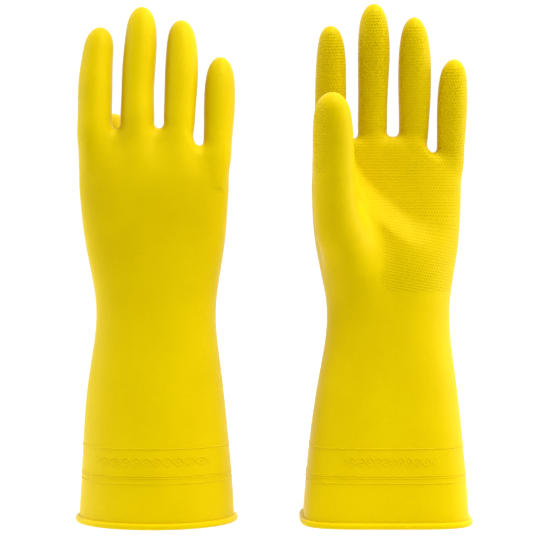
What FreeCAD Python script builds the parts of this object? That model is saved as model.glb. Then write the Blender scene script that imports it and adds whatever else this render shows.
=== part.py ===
import FreeCAD, Part
import math
import os

import Sketcher

# Pair of household rubber gloves standing on their rolled cuffs, fingers up.
# +Z up, origin at the bottom centre of the pair, millimetres.
# "right" is the right-hand glove (its back faces -Y, its palm +Y), standing at -X.
# "left" is the left-hand glove (its palm faces -Y), standing at +X.

os.makedirs("parts", exist_ok=True)
V = FreeCAD.Vector
doc = FreeCAD.newDocument("rubber_gloves")
sheet = doc.addObject("Spreadsheet::Sheet", "Params")
VAL = {}
_row = [0]


def P(alias, value):
    """Puts one size on the sheet and returns its alias for expressions."""
    if alias not in VAL:
        _row[0] += 1
        r = _row[0]
        sheet.set("A%d" % r, alias)
        sheet.set("B%d" % r, "%.4f" % value)
        sheet.setAlias("B%d" % r, alias)
        VAL[alias] = round(value, 4)
    return "Params." + alias


# ---------------------------------------------------------------- sizes
P("latex_wall", 0.5)          # moulded latex sheet
P("lining_gap", 0.1)          # drawing gap between latex and flock lining
P("lining_thick", 0.35)       # cotton flock
P("bead_radius", 1.95)        # rolled edge of the cuff
P("bead_outset", 0.35)        # rolled edge sits proud of the wall
P("bead_centre_height", 1.75)
P("rib_radius", 0.55)         # raised line round the cuff
P("right_glove_x", -70.9)     # each glove's own centre line
P("left_glove_x", 67.9)

SHELL_Z0 = 3.75
WRIST_LOW, WRIST_HIGH, WRIST_MID = 111.4, 133.4, 122.4
P("shell_low_z", SHELL_Z0)
P("wrist_low_z", WRIST_LOW)
P("wrist_high_z", WRIST_HIGH)
P("wrist_mid_z", WRIST_MID)

# section rows: name, height, half width, half depth, and the centre's shift sideways and towards the palm
GLOVES = {
    "right": dict(
        sx=-1, sy=1,
        cuff=[("mouth", 3.75, 46.9, 37.0, 0.2, 0.0), ("rim_line", 29.8, 45.6, 34.4, -0.2, 0.0),
              ("band_top", 46.8, 44.4, 32.3, -0.5, 0.0), ("mid", 76.4, 41.7, 28.2, -1.1, 0.0),
              ("wrist_low", 111.4, 37.2, 24.4, -0.8, 0.0)],
        wrist=[("wrist_low", 111.4, 37.2, 24.4, -0.8, 0.0), ("wrist_mid", 122.4, 36.1, 23.6, -0.9, -0.2),
               ("wrist_high", 133.4, 36.6, 23.2, -0.9, -0.6)],
        hand=[("wrist_high", 133.4, 36.6, 23.2, -0.9, -0.6), ("heel", 154.4, 40.0, 21.6, -1.0, -2.4),
              ("thenar", 178.4, 43.2, 19.2, -1.4, -4.8), ("palm", 200.4, 45.0, 16.8, -1.6, -7.0),
              ("knuckle", 216.4, 46.0, 14.2, -1.7, -8.0), ("crown", 227.4, 45.4, 11.4, -1.4, -8.0)],
        web=[(-24.8, 238.6, 3.6), (0.6, 239.2, 3.4), (26.0, 228.5, 2.3)],
        # name: u, v at the root, u, v at the dome centre, root height, tip height, radii
        fingers={
            "index": (-38.6, -7.4, -37.6, 3.0, 243.0, 301.0, 9.9, 9.3, 30.5),
            "middle": (-12.1, -7.8, -11.8, 5.0, 243.4, 313.8, 9.4, 9.6, 35.0),
            "ring": (15.0, -7.8, 14.4, 4.4, 243.4, 305.3, 9.4, 9.5, 32.0),
            "little": (37.3, -7.4, 38.0, 2.4, 231.8, 282.6, 9.0, 8.9, 26.5)},
        thumb=(-31.4, 14.5, -34.6, 44.5)),
    "left": dict(
        sx=1, sy=-1,
        cuff=[("mouth", 3.75, 49.4, 35.0, 0.3, 0.0), ("rim_line", 29.8, 48.1, 33.0, 0.3, 0.0),
              ("band_top", 46.8, 46.7, 31.4, 0.6, 0.0), ("mid", 76.4, 42.9, 28.0, 1.1, 0.0),
              ("wrist_low", 111.4, 38.4, 24.5, 2.0, 0.0)],
        wrist=[("wrist_low", 111.4, 38.4, 24.5, 2.0, 0.0), ("wrist_mid", 122.4, 37.0, 23.7, 2.1, -0.2),
               ("wrist_high", 133.4, 37.3, 23.3, 2.1, -0.6)],
        hand=[("wrist_high", 133.4, 37.3, 23.3, 2.1, -0.6), ("heel", 154.4, 41.0, 21.6, 1.7, -2.4),
              ("thenar", 178.4, 44.1, 19.2, 1.3, -4.8), ("palm", 199.4, 45.5, 16.8, 1.5, -7.0),
              ("knuckle", 213.4, 46.3, 14.2, 1.9, -8.0), ("crown", 223.4, 45.6, 11.4, 2.2, -8.0)],
        web=[(-17.4, 233.1, 3.4), (5.8, 234.0, 3.2), (29.6, 224.2, 2.3)],
        fingers={
            "index": (-33.0, -7.4, -33.0, 3.2, 237.3, 301.3, 9.2, 9.1, 32.5),
            "middle": (-7.2, -7.8, -6.4, 5.2, 238.0, 314.7, 8.9, 9.5, 37.0),
            "ring": (18.6, -7.8, 18.6, 4.8, 238.0, 306.4, 9.4, 9.6, 34.0),
            "little": (41.2, -7.4, 41.2, 2.6, 227.3, 280.8, 8.5, 8.6, 27.0)},
        thumb=(-30.4, 14.5, -33.8, 44.5)),
}
WEB_SHIFT = -7.8             # the finger roots lie behind the cuff's middle plane
THUMB_Z0, THUMB_Z1 = 164.4, 245.1
THUMB_R0, THUMB_R1 = 14.2, 10.5
THUMB_HINGE, THUMB_TIP_HINGE = 38.0, 66.0
ROOT_HINGE, ROOT_HALF, MID_HALF = 5.8, 4.2, 6.4
THUMB_ROOT_HALF, THUMB_MID_HALF = 6.3, 6.0
P("finger_root_flex_half", ROOT_HALF)
P("finger_mid_flex_half", MID_HALF)
P("thumb_root_flex_half", THUMB_ROOT_HALF)
P("thumb_mid_flex_half", THUMB_MID_HALF)
P("thumb_root_hinge", THUMB_HINGE)
P("thumb_tip_hinge", THUMB_TIP_HINGE)


# ---------------------------------------------------------------- helpers
def plane(body, role):
    return [f for f in body.Origin.OriginFeatures if f.Role == role][0]


def glove_place(g, u, v, z):
    x = VAL["right_glove_x"] if g["sx"] < 0 else VAL["left_glove_x"]
    return V(x + u, g["sy"] * v, z)


def ellipse_sketch(body, name, z, a_expr, b_expr, a, b, cx, cy=0.0):
    s = body.newObject("Sketcher::SketchObject", name)
    s.AttachmentSupport = [(plane(body, "XY_Plane"), "")]
    s.MapMode = "FlatFace"
    s.AttachmentOffset = FreeCAD.Placement(V(0, 0, z), FreeCAD.Rotation())
    s.addGeometry(Part.Ellipse(V(cx + a, cy, 0), V(cx, cy + b, 0), V(cx, cy, 0)), False)
    s.exposeInternalGeometry(0)
    c = s.addConstraint(Sketcher.Constraint("Distance", 1, 2 * a))
    s.renameConstraint(c, "fullWidth")
    s.setExpression("Constraints.fullWidth", "2 * (" + a_expr + ")")
    c = s.addConstraint(Sketcher.Constraint("Distance", 2, 2 * b))
    s.renameConstraint(c, "fullDepth")
    s.setExpression("Constraints.fullDepth", "2 * (" + b_expr + ")")
    s.addConstraint(Sketcher.Constraint("Horizontal", 1))
    s.addConstraint(Sketcher.Constraint("DistanceX", -1, 1, 0, 3, cx))
    if abs(cy) < 1e-9:
        s.addConstraint(Sketcher.Constraint("PointOnObject", 0, 3, -1))
    else:
        s.addConstraint(Sketcher.Constraint("DistanceY", -1, 1, 0, 3, cy))
    return s


def loft_body(name, side, rows, off_outer, off_inner, place=True):
    """Hollow loft through ellipses; off_* are expressions taken off the outer size."""
    g = GLOVES[side]
    body = doc.addObject("PartDesign::Body", name)
    for tag, off, kind in (("o", off_outer, "PartDesign::AdditiveLoft"),
                           ("i", off_inner, "PartDesign::SubtractiveLoft")):
        if off is None:
            continue
        expr, val = off
        sks = []
        for rn, z, a, b, cx, cv in rows:
            ea = P("%s_%s_half_width" % (side, rn), a)
            eb = P("%s_%s_half_depth" % (side, rn), b)
            sks.append(ellipse_sketch(body, "%s_%s_%s" % (name, tag, rn), z, ea + " - " + expr,
                                      eb + " - " + expr, a - val, b - val, cx, g["sy"] * cv))
        lf = body.newObject(kind, "%s_%s_loft" % (name, tag))
        lf.Profile = sks[0]
        lf.Sections = sks[1:]
        lf.Ruled = False
        if tag == "o":
            doc.recompute()
    if place:
        body.Placement = FreeCAD.Placement(glove_place(g, 0, 0, 0), FreeCAD.Rotation())
    doc.recompute()
    return body


ZERO = ("0", 0.0)
WALL = ("Params.latex_wall", VAL["latex_wall"])
LIN_O = ("(Params.latex_wall + Params.lining_gap)", VAL["latex_wall"] + VAL["lining_gap"])
LIN_I = ("(Params.latex_wall + Params.lining_gap + Params.lining_thick)",
         VAL["latex_wall"] + VAL["lining_gap"] + VAL["lining_thick"])


def axis_placement(g, u0, v0, z0, u1, v1, z1):
    a = glove_place(g, u0, v0, z0)
    b = glove_place(g, u1, v1, z1)
    d = b.sub(a)
    length = d.Length
    return FreeCAD.Placement(a, FreeCAD.Rotation(V(0, 0, 1), d)), length, d


def revolve(name, pl, pts, binds, arcs=None):
    """Body turned about its own Z from a closed profile of (radius, height) points.

    binds: point index -> (radius expression, height expression);
    arcs: index of edge -> (centre height, radius, expression of centre height)."""
    body = doc.addObject("PartDesign::Body", name)
    s = body.newObject("Sketcher::SketchObject", name + "_profile")
    s.AttachmentSupport = [(plane(body, "XZ_Plane"), "")]
    s.MapMode = "FlatFace"
    n = len(pts)
    arcs = arcs or {}
    for i in range(n):
        a, b = pts[i], pts[(i + 1) % n]
        if i in arcs:
            zc, r = arcs[i][0], arcs[i][1]
            t0 = math.atan2(a[1] - zc, a[0])
            t1 = math.atan2(b[1] - zc, b[0])
            lo, hi = min(t0, t1), max(t0, t1)
            s.addGeometry(Part.ArcOfCircle(Part.Circle(V(0, zc, 0), V(0, 0, 1), r), lo, hi), False)
        else:
            s.addGeometry(Part.LineSegment(V(a[0], a[1], 0), V(b[0], b[1], 0)), False)

    def end(i, start):
        # which end of edge i is its start point in the profile's order
        if i in arcs:
            a, b = pts[i], pts[(i + 1) % n]
            zc = arcs[i][0]
            forward = math.atan2(a[1] - zc, a[0]) < math.atan2(b[1] - zc, b[0])
            return 1 if forward == start else 2
        return 1 if start else 2

    for i in range(n):
        s.addConstraint(Sketcher.Constraint("Coincident", i, end(i, False), (i + 1) % n, end((i + 1) % n, True)))
    for i in arcs:
        s.addConstraint(Sketcher.Constraint("PointOnObject", i, 3, -2))
    for i, (re_, he_) in binds.items():
        r, z = pts[i]
        if re_ is not None:
            if abs(r) < 1e-9:
                s.addConstraint(Sketcher.Constraint("PointOnObject", i, end(i, True), -2))
            else:
                c = s.addConstraint(Sketcher.Constraint("DistanceX", -1, 1, i, end(i, True), r))
                s.renameConstraint(c, "radius%d" % i)
                s.setExpression("Constraints.radius%d" % i, re_)
        if he_ is not None:
            if abs(z) < 1e-9:
                s.addConstraint(Sketcher.Constraint("PointOnObject", i, end(i, True), -1))
            else:
                c = s.addConstraint(Sketcher.Constraint("DistanceY", -1, 1, i, end(i, True), z))
                s.renameConstraint(c, "height%d" % i)
                s.setExpression("Constraints.height%d" % i, he_)
    for i, spec in arcs.items():
        c = s.addConstraint(Sketcher.Constraint("DistanceY", -1, 1, i, 3, spec[0]))
        s.renameConstraint(c, "domeCentre%d" % i)
        s.setExpression("Constraints.domeCentre%d" % i, spec[2])
    doc.recompute()
    rev = body.newObject("PartDesign::Revolution", name + "_turn")
    rev.Profile = s
    rev.ReferenceAxis = (s, ["V_Axis"])
    rev.Angle = 360
    body.Placement = pl
    doc.recompute()
    return body


class Digit:
    """One finger or thumb: a straight axis, a radius that changes evenly along it."""

    def __init__(self, side, name, pl, length, r0, r1, hinge_a, hinge_b, half_a, half_b, half_a_name, half_b_name):
        self.side, self.name, self.pl = side, name, pl
        k = "%s_%s_" % (side, name)
        self.k = k
        self.len_e = P(k + "axis_length", length)
        self.r0_e = P(k + "root_radius", r0)
        self.r1_e = P(k + "end_radius", r1)
        self.ha_e = P(k + "root_hinge", hinge_a)
        self.hb_e = P(k + "mid_hinge", hinge_b)
        self.length, self.r0, self.r1 = VAL[k + "axis_length"], VAL[k + "root_radius"], VAL[k + "end_radius"]
        ha, hb = VAL[k + "root_hinge"], VAL[k + "mid_hinge"]
        self.stations = [(ha - half_a, "%s - Params.%s" % (self.ha_e, half_a_name)),
                         (ha + half_a, "%s + Params.%s" % (self.ha_e, half_a_name)),
                         (hb - half_b, "%s - Params.%s" % (self.hb_e, half_b_name)),
                         (hb + half_b, "%s + Params.%s" % (self.hb_e, half_b_name))]

    def rad(self, s):
        return self.r0 + (self.r1 - self.r0) * s / self.length

    def rad_e(self, s_e):
        return "(%s + (%s - %s) * (%s) / %s)" % (self.r0_e, self.r1_e, self.r0_e, s_e, self.len_e)

    def ring(self, part, i, j):
        (s0, e0), (s1, e1) = self.stations[i], self.stations[j]
        w = VAL["latex_wall"]
        pts = [(self.rad(s0), s0), (self.rad(s1), s1), (self.rad(s1) - w, s1), (self.rad(s0) - w, s0)]
        b = {0: (self.rad_e(e0), e0), 1: (self.rad_e(e1), e1),
             2: (self.rad_e(e1) + " - Params.latex_wall", e1),
             3: (self.rad_e(e0) + " - Params.latex_wall", e0)}
        return revolve("%s_%s_%s" % (self.side, self.name, part), self.pl, pts, b)

    def tip(self, part, i):
        s0, e0 = self.stations[i]
        w = VAL["latex_wall"]
        L, r1 = self.length, self.r1
        pts = [(self.rad(s0), s0), (r1, L), (0.0, L + r1), (0.0, L + r1 - w), (r1 - w, L), (self.rad(s0) - w, s0)]
        b = {0: (self.rad_e(e0), e0), 1: (self.r1_e, self.len_e), 2: ("0", None), 3: ("0", None),
             4: (self.r1_e + " - Params.latex_wall", self.len_e),
             5: (self.rad_e(e0) + " - Params.latex_wall", e0)}
        arcs = {1: (L, r1, self.len_e), 3: (L, r1 - w, self.len_e)}
        return revolve("%s_%s_%s" % (self.side, self.name, part), self.pl, pts, b, arcs)

    def solid(self, tag, s_low, off, dome):
        """Filled cone, with its dome if asked, used to build the hand and the lining."""
        off_e, w = off
        low_e = P(self.k + "core_drop", -s_low)
        drop = VAL[self.k + "core_drop"]
        pl = FreeCAD.Placement(self.pl.multVec(V(0, 0, -drop)), self.pl.Rotation)
        name = "%s%s_core" % (self.k, tag)
        r_low = self.rad(-drop) - w
        e_low = self.rad_e("0 - " + low_e) + " - " + off_e
        L, r1 = self.length, self.r1 - w
        if self.name == "thumb":
            # the thumb's mound: the cone starts with a rounded heel inside the palm
            rr = self.r0 - w
            heel_e = "%s - %s" % (self.r0_e, off_e)
            pts = [(0.0, drop - rr), (rr, drop)]
            binds = {0: ("0", None), 1: (heel_e, low_e)}
            arcs = {0: (drop, rr, low_e)}
        else:
            pts = [(0.0, 0.0), (r_low, 0.0)]
            binds = {0: ("0", "0"), 1: (e_low, "0")}
            arcs = {}
        if dome:
            pts += [(r1, L + drop), (0.0, L + drop + r1)]
            binds[2] = (self.r1_e + " - " + off_e, self.len_e + " + " + low_e)
            binds[3] = ("0", None)
            arcs[2] = (L + drop, r1, self.len_e + " + " + low_e)
        else:
            top, top_e = self.stations[0]
            pts += [(self.rad(top) - w, top + drop), (0.0, top + drop)]
            if abs(top) < 1e-9:
                binds[2] = (self.rad_e("0") + " - " + off_e, low_e)
                binds[3] = ("0", low_e)
            else:
                binds[2] = (self.rad_e(top_e) + " - " + off_e, top_e + " + " + low_e)
                binds[3] = ("0", top_e + " + " + low_e)
        return [revolve(name, pl, pts, binds, arcs)]


def web_plate(name, side, off):
    """Plate that closes the hand between the fingers, with rounded notches."""
    g = GLOVES[side]
    off_e, w = off
    body = doc.addObject("PartDesign::Body", name)
    s = body.newObject("Sketcher::SketchObject", name + "_outline")
    s.AttachmentSupport = [(plane(body, "XZ_Plane"), "")]
    s.MapMode = "FlatFace"
    f = g["fingers"]
    u_first, u_last = f["index"][0], f["little"][0]
    low = g["hand"][-3][1] + 4.0
    segs = []
    cur = (u_first, low)
    for k, (uc, zc, rho) in enumerate(g["web"]):
        zt = zc + rho - w
        p = (uc - rho, zt)
        if k == 0:
            segs.append(("l", cur, (u_first, zt)))
            cur = (u_first, zt)
        elif abs(cur[1] - zt) > 1e-6:
            um = 0.5 * (cur[0] + p[0])
            segs.append(("l", cur, (um, cur[1])))
            segs.append(("l", (um, cur[1]), (um, zt)))
            cur = (um, zt)
        segs.append(("l", cur, p))
        q = (uc + rho, zt)
        segs.append(("a", p, q, (uc, zt), rho))
        cur = q
    segs.append(("l", cur, (u_last, cur[1])))
    segs.append(("l", (u_last, cur[1]), (u_last, low)))
    segs.append(("l", (u_last, low), (u_first, low)))
    for sg in segs:
        if sg[0] == "l":
            s.addGeometry(Part.LineSegment(V(sg[1][0], sg[1][1], 0), V(sg[2][0], sg[2][1], 0)), False)
        else:
            c = Part.Circle(V(sg[3][0], sg[3][1], 0), V(0, 0, 1), sg[4])
            s.addGeometry(Part.ArcOfCircle(c, math.pi, 2 * math.pi), False)
    n = len(segs)
    for i in range(n):
        j = (i + 1) % n
        s.addConstraint(Sketcher.Constraint("Coincident", i, 2, j, 1))
    for i, sg in enumerate(segs):
        s.addConstraint(Sketcher.Constraint("Block", i))
    doc.recompute()
    pad = body.newObject("PartDesign::Pad", name + "_pad")
    pad.Profile = s
    pad.Midplane = True
    P("web_full_depth", 16.4)
    pad.setExpression("Length", "Params.web_full_depth - 2 * %s" % off_e)
    body.Placement = FreeCAD.Placement(glove_place(g, 0, WEB_SHIFT, 0), FreeCAD.Rotation())
    doc.recompute()
    return body


def fuse(name, objs):
    f = doc.addObject("Part::MultiFuse", name)
    f.Shapes = objs
    doc.recompute()
    return f


def fuse_in_turn(name, objs):
    """The same union, taken two shapes at a time."""
    acc = objs[0]
    for i, o in enumerate(objs[1:]):
        f = doc.addObject("Part::Fuse", "%s_%d" % (name, i + 1))
        f.Base = acc
        f.Tool = o
        acc = f
    doc.recompute()
    return acc


def cut(name, a, b):
    c = doc.addObject("Part::Cut", name)
    c.Base = a
    c.Tool = b
    doc.recompute()
    return c


# every remaining size goes on the sheet before any shape refers to it
P("web_full_depth", 16.4)
for side, g in GLOVES.items():
    for part in ("cuff", "wrist", "hand"):
        for rn, z, a, b, cx, cv in g[part]:
            P("%s_%s_half_width" % (side, rn), a)
            P("%s_%s_half_depth" % (side, rn), b)
    for fn, (u0, v0, u1, v1, z0, ztip, r0, r1, span) in g["fingers"].items():
        pl, length, d = axis_placement(g, u0, v0, z0, u1, v1, ztip - r1)
        k = "%s_%s_" % (side, fn)
        for key, val in (("axis_length", length), ("root_radius", r0), ("end_radius", r1),
                         ("root_hinge", ROOT_HINGE), ("mid_hinge", span), ("core_drop", 26.0)):
            P(k + key, val)
    ut, vt, ut1, vt1 = g["thumb"]
    pl, length, d = axis_placement(g, ut, vt, THUMB_Z0, ut1, vt1, THUMB_Z1)
    for key, val in (("axis_length", length), ("root_radius", THUMB_R0), ("end_radius", THUMB_R1),
                     ("root_hinge", THUMB_HINGE), ("mid_hinge", THUMB_TIP_HINGE), ("core_drop", 20.0)):
        P("%s_thumb_%s" % (side, key), val)
doc.recompute()

NODES = []


def node(obj, label):
    obj.Label = label
    NODES.append((label, obj))


# ---------------------------------------------------------------- build
for side, g in GLOVES.items():
    # rolled bead round the cuff's mouth, with a narrow flat underneath that it stands on
    z_c, r_b = VAL["bead_centre_height"], VAL["bead_radius"]
    a0, b0, cx0 = g["cuff"][0][2], g["cuff"][0][3], g["cuff"][0][4]
    ea = P("%s_mouth_half_width" % side, a0)
    eb = P("%s_mouth_half_depth" % side, b0)
    bead = doc.addObject("PartDesign::Body", side + "_bead")
    out = VAL["bead_outset"]
    path = ellipse_sketch(bead, side + "_bead_path", 0.0, ea + " + Params.bead_outset",
                          eb + " + Params.bead_outset", a0 + out, b0 + out, cx0)
    prof = bead.newObject("Sketcher::SketchObject", side + "_bead_section")
    prof.AttachmentSupport = [(plane(bead, "XZ_Plane"), "")]
    prof.MapMode = "FlatFace"
    xc = cx0 + a0 + out
    prof.addGeometry(Part.Circle(V(xc, z_c, 0), V(0, 0, 1), r_b), False)
    c = prof.addConstraint(Sketcher.Constraint("Radius", 0, r_b))
    prof.renameConstraint(c, "sectionRadius")
    prof.setExpression("Constraints.sectionRadius", "Params.bead_radius")
    c = prof.addConstraint(Sketcher.Constraint("DistanceY", -1, 1, 0, 3, z_c))
    prof.renameConstraint(c, "centreHeight")
    prof.setExpression("Constraints.centreHeight", "Params.bead_centre_height")
    c = prof.addConstraint(Sketcher.Constraint("DistanceX", -1, 1, 0, 3, xc))
    prof.renameConstraint(c, "centreOut")
    prof.setExpression("Constraints.centreOut", "%s + Params.bead_outset + %.4f" % (ea, cx0))
    doc.recompute()
    roll = bead.newObject("PartDesign::AdditivePipe", side + "_bead_roll")
    roll.Profile = prof
    roll.Spine = path
    bead.Placement = FreeCAD.Placement(glove_place(g, 0, 0, 0), FreeCAD.Rotation())
    doc.recompute()
    under = doc.addObject("Part::Box", side + "_bead_floor")
    under.Length, under.Width, under.Height = 140, 140, 5
    under.Placement = FreeCAD.Placement(glove_place(g, -70, 0, 0).add(V(0, -70, -5)), FreeCAD.Rotation())
    doc.recompute()
    node(cut(side + "_bead_solid", bead, under), side + "_cuff_bead")

    # cuff shell with two raised lines
    shell = loft_body(side + "_cuff", side, g["cuff"], ZERO, WALL)
    ribs = []
    for rn, z, a, b, cx, cv in (g["cuff"][1], g["cuff"][2]):
        rb = doc.addObject("PartDesign::Body", "%s_%s_rib" % (side, rn))
        ea = P("%s_%s_half_width" % (side, rn), a)
        eb = P("%s_%s_half_depth" % (side, rn), b)
        rp = ellipse_sketch(rb, "%s_%s_path" % (side, rn), z, ea + " - 0.2", eb + " - 0.2", a - 0.2, b - 0.2, cx)
        rs = rb.newObject("Sketcher::SketchObject", "%s_%s_section" % (side, rn))
        rs.AttachmentSupport = [(plane(rb, "XZ_Plane"), "")]
        rs.MapMode = "FlatFace"
        rs.addGeometry(Part.Circle(V(cx + a - 0.2, z, 0), V(0, 0, 1), VAL["rib_radius"]), False)
        c = rs.addConstraint(Sketcher.Constraint("Radius", 0, VAL["rib_radius"]))
        rs.renameConstraint(c, "ribRadius")
        rs.setExpression("Constraints.ribRadius", "Params.rib_radius")
        c = rs.addConstraint(Sketcher.Constraint("DistanceX", -1, 1, 0, 3, cx + a - 0.2))
        rs.renameConstraint(c, "ribOut")
        rs.setExpression("Constraints.ribOut", "%s - 0.2 + %.4f" % (ea, cx))
        rs.addConstraint(Sketcher.Constraint("DistanceY", -1, 1, 0, 3, z))
        doc.recompute()
        rr = rb.newObject("PartDesign::AdditivePipe", "%s_%s_roll" % (side, rn))
        rr.Profile = rs
        rr.Spine = rp
        rb.Placement = FreeCAD.Placement(glove_place(g, 0, 0, 0), FreeCAD.Rotation())
        doc.recompute()
        ribs.append(rb)
    ribbed = fuse(side + "_cuff_with_lines", [shell] + ribs)
    bore = loft_body(side + "_cuff_bore", side, g["cuff"], WALL, None)
    cuff = cut(side + "_cuff_shell_solid", ribbed, bore)
    node(cuff, side + "_cuff_shell")

    node(loft_body(side + "_wrist", side, g["wrist"], ZERO, WALL), side + "_wrist_flex")

    # digits
    digits = {}
    for fn, (u0, v0, u1, v1, z0, ztip, r0, r1, span) in g["fingers"].items():
        zd = ztip - r1
        pl, length, d = axis_placement(g, u0, v0, z0, u1, v1, zd)
        digits[fn] = Digit(side, fn, pl, length, r0, r1, ROOT_HINGE, span, ROOT_HALF, MID_HALF,
                           "finger_root_flex_half", "finger_mid_flex_half")
    ut, vt, ut1, vt1 = g["thumb"]
    pl, length, d = axis_placement(g, ut, vt, THUMB_Z0, ut1, vt1, THUMB_Z1)
    digits["thumb"] = Digit(side, "thumb", pl, length, THUMB_R0, THUMB_R1, THUMB_HINGE, THUMB_TIP_HINGE,
                            THUMB_ROOT_HALF, THUMB_MID_HALF, "thumb_root_flex_half", "thumb_mid_flex_half")

    def core(tag, off, dome):
        objs = [loft_body("%s_palm_%s" % (side, tag), side, g["hand"], off, None)]
        # the crown of the loft is closed by lowering the cavity by the wall
        objs.append(web_plate("%s_web_%s" % (side, tag), side, off))
        for fn, dg in digits.items():
            objs += dg.solid(tag, -20.0 if fn == "thumb" else -26.0, off, dome)
        return objs

    outer = fuse_in_turn(side + "_hand_outer", core("outer", ZERO, False))
    # cavity: same shapes taken in by the wall; the palm's own cavity stops a wall short of its crown
    inner_objs = core("inner", WALL, False)
    lid = doc.addObject("Part::Box", side + "_crown_lid")
    zc = g["hand"][-1][1]
    lid.Length, lid.Width = 120, 60
    lid.setExpression("Height", "Params.latex_wall")
    lid.Placement = FreeCAD.Placement(glove_place(g, -60, -g["sy"] * 30, zc - VAL["latex_wall"]), FreeCAD.Rotation())
    palm_short = cut(side + "_palm_cavity", inner_objs[0], lid)
    inner = fuse_in_turn(side + "_hand_inner", [palm_short] + inner_objs[1:])
    hand = cut(side + "_hand_shell_solid", outer, inner)
    node(hand, side + "_hand_shell")

    for fn, dg in digits.items():
        node(dg.ring("root_flex", 0, 1), "%s_%s_root_flex" % (side, fn))
        node(dg.ring("lower", 1, 2), "%s_%s_lower" % (side, fn))
        node(dg.ring("mid_flex", 2, 3), "%s_%s_mid_flex" % (side, fn))
        node(dg.tip("tip", 3), "%s_%s_tip" % (side, fn))

    # flock lining: one skin in the cuff and wrist, one in the hand and digits
    tube = fuse(side + "_cuff_lining_solid",
                [loft_body(side + "_cuff_flock", side, g["cuff"], LIN_O, LIN_I),
                 loft_body(side + "_wrist_flock", side, g["wrist"], LIN_O, LIN_I)])
    node(tube, side + "_cuff_lining")

    def capped(tag, off):
        objs = core(tag, off, True)
        top = doc.addObject("Part::Box", "%s_%s_lid" % (side, tag))
        top.Length, top.Width = 120, 60
        top.setExpression("Height", off[0])
        top.Placement = FreeCAD.Placement(glove_place(g, -60, -g["sy"] * 30, zc - off[1]), FreeCAD.Rotation())
        return [cut("%s_%s_palm" % (side, tag), objs[0], top)] + objs[1:]

    lining = cut(side + "_hand_lining_solid", fuse_in_turn(side + "_flock_out", capped("lino", LIN_O)),
                 fuse_in_turn(side + "_flock_in", capped("lini", LIN_I)))
    node(lining, side + "_hand_lining")

doc.recompute()

# ---------------------------------------------------------------- check and write
bad = []
for o in doc.Objects:
    st = [x for x in o.State if x in ("Invalid", "Error")]
    if st:
        bad.append((o.Name, st))
for label, o in NODES:
    sh = o.Shape
    if sh.isNull() or not sh.isValid() or len(sh.Solids) < 1:
        bad.append((label, "shape"))
if bad:
    raise RuntimeError("bad objects: %s" % bad[:10])
for label, o in NODES:
    sh = o.Shape
    if len(sh.Solids) == 1 and sh.ShapeType != "Solid":
        sh = sh.Solids[0]
    sh.exportStep("parts/%s.step" % label)
    print("%-26s solids %d  vol %9.1f  %s" % (label, len(o.Shape.Solids), o.Shape.Volume,
                                            " ".join("%.1f" % x for x in (
                                                o.Shape.BoundBox.XMin, o.Shape.BoundBox.XMax, o.Shape.BoundBox.YMin,
                                                o.Shape.BoundBox.YMax, o.Shape.BoundBox.ZMin, o.Shape.BoundBox.ZMax))))
print("nodes", len(NODES))
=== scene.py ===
import math

import bmesh
import bpy
import numpy as np
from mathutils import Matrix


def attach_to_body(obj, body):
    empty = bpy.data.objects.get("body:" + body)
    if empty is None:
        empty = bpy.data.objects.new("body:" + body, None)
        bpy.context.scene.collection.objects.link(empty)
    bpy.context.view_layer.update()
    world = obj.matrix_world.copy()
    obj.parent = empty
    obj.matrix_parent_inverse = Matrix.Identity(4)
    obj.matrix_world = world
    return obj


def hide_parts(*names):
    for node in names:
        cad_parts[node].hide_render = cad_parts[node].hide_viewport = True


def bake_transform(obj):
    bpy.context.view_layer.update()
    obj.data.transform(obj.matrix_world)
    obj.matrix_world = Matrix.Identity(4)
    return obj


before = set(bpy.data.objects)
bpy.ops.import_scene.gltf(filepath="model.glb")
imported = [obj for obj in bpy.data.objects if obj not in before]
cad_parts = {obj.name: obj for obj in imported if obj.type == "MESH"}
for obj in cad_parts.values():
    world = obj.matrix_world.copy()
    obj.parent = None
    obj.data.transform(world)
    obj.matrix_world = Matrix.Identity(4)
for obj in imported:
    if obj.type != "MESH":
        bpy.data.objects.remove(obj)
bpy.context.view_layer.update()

# Pair of household rubber gloves. Lengths are in millimetres here and metres in the scene.
# Each glove has its own frame: u across (thumb at -u), v towards the palm, z up.

MM = 0.001
GRID = 1.6            # spacing of the surface mesh
WALL = 0.5            # latex
FLOCK_OUT, FLOCK_IN = 0.62, 0.95

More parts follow.
